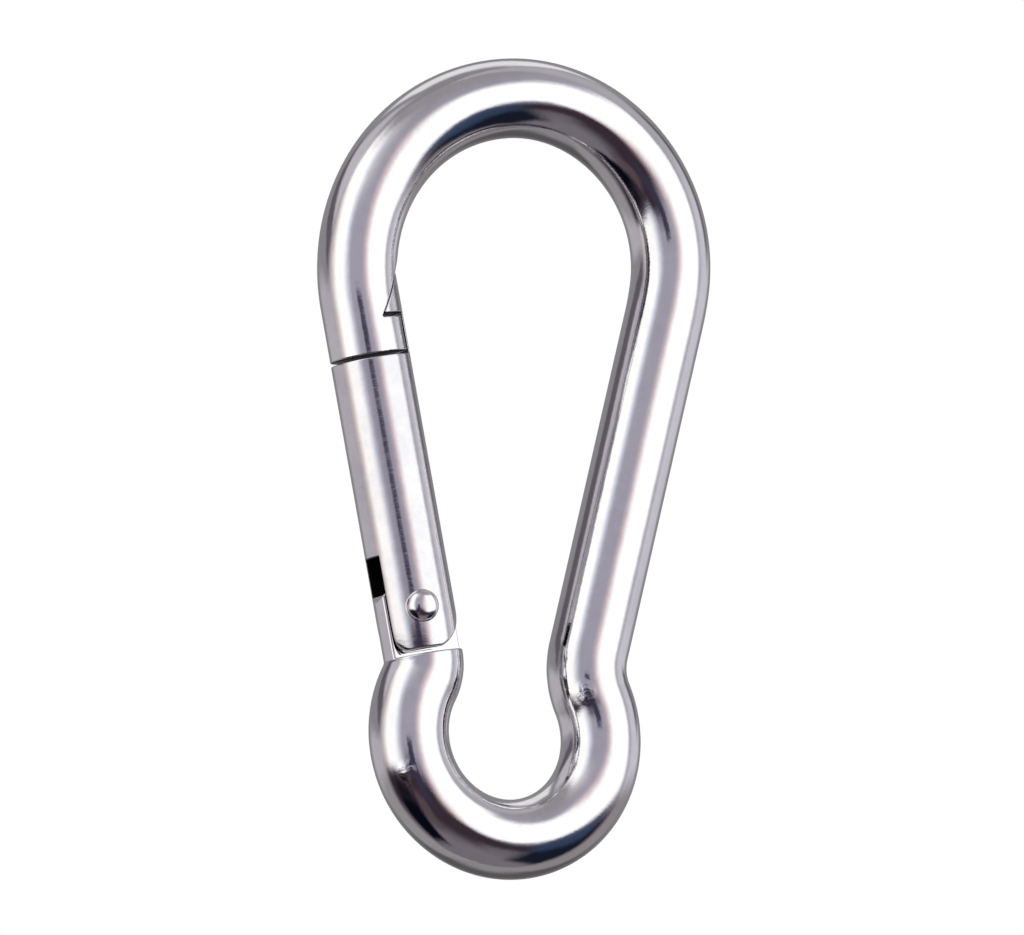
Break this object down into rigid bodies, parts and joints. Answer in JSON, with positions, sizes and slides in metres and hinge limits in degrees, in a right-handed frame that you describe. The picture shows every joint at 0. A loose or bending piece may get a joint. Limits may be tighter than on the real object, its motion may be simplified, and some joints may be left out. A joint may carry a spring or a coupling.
{
  "type": "spring gate snap hook",
  "caption": "Round bar snap hook with a large bow, a small closed eye and a sprung round gate that swings inwards about a riveted hinge.",
  "frame": {"origin": "seat of the big bow: the inner apex of the bow, on the loop's middle plane", "axes": "+Z from the small eye to the big bow, +X from the gate to the spine, Y across the loop, which is symmetric about Y = 0"},
  "size_m": [0.0405, 0.0094, 0.08],
  "materials": {
    "body_steel": "polished stainless",
    "gate_steel": "turned and polished stainless",
    "rivet_steel": "polished stainless",
    "plunger_steel": "plain stainless",
    "spring_steel": "drawn spring wire"
  },
  "bodies": {
    "hook": {"body": "body_steel"},
    "gate": {"gate": "gate_steel", "hinge_rivet": "rivet_steel", "gate_spring": "spring_steel"},
    "plunger": {"plunger": "plunger_steel"}
  },
  "joints": [
    {"name": "gate_hinge", "type": "hinge", "parent": "hook", "child": "gate", "pos_m": [-0.01066, 0, -0.04736], "axis": [0, 1, 0], "range_deg": [0, 43.8], "stiffness_Nm_per_rad": 0.08, "springref_deg": -34.38},
    {"name": "plunger_slide", "type": "slide", "parent": "gate", "child": "plunger", "axis": [-0.2334, 0, 0.9724], "range_m": [0, 0.0014], "deforming": ["gate_spring"]}
  ],
  "couplings": [
    {"joint": "plunger_slide", "follows": "gate_hinge", "m_per_rad": 0.001647}
  ]
}
